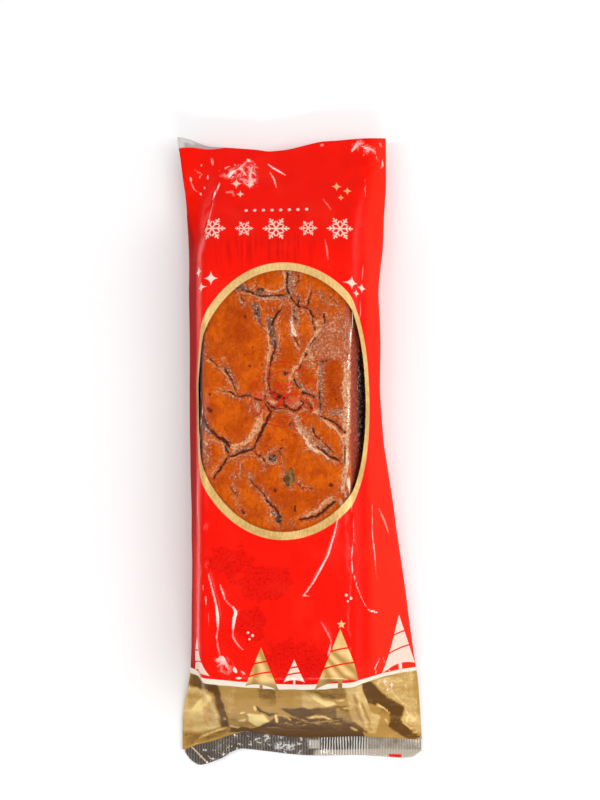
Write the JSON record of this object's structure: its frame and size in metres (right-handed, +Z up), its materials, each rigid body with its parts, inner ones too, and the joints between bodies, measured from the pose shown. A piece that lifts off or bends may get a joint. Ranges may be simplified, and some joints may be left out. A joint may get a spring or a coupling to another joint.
{
  "type": "christmas bread in a bag",
  "caption": "Fruited festive loaf in a printed flow-wrap bag with a clear oval window, a ribbed end seal and a folded-under end, lying flat.",
  "frame": {"origin": "middle of the pack's outline, on the surface it lies on", "axes": "+Z up out of the window, +Y along the loaf towards the end that is folded under, +X to the right seen from above"},
  "size_m": [0.1735, 0.4451, 0.0585],
  "materials": {
    "printed_film": "glossy printed bag film, red with a gold band and frame",
    "clear_film": "clear glossy film over the window and at the folded end",
    "seal_film": "pressed, ribbed end seal, gold ink and clear film, shiny",
    "bread_crust": "baked crust, orange-brown, cracked, with paler crumb in the cracks",
    "fruit": "raisins and candied fruit, dark and wrinkled"
  },
  "bodies": {
    "root": {"bread_pack": "printed_film"}
  },
  "joints": []
}
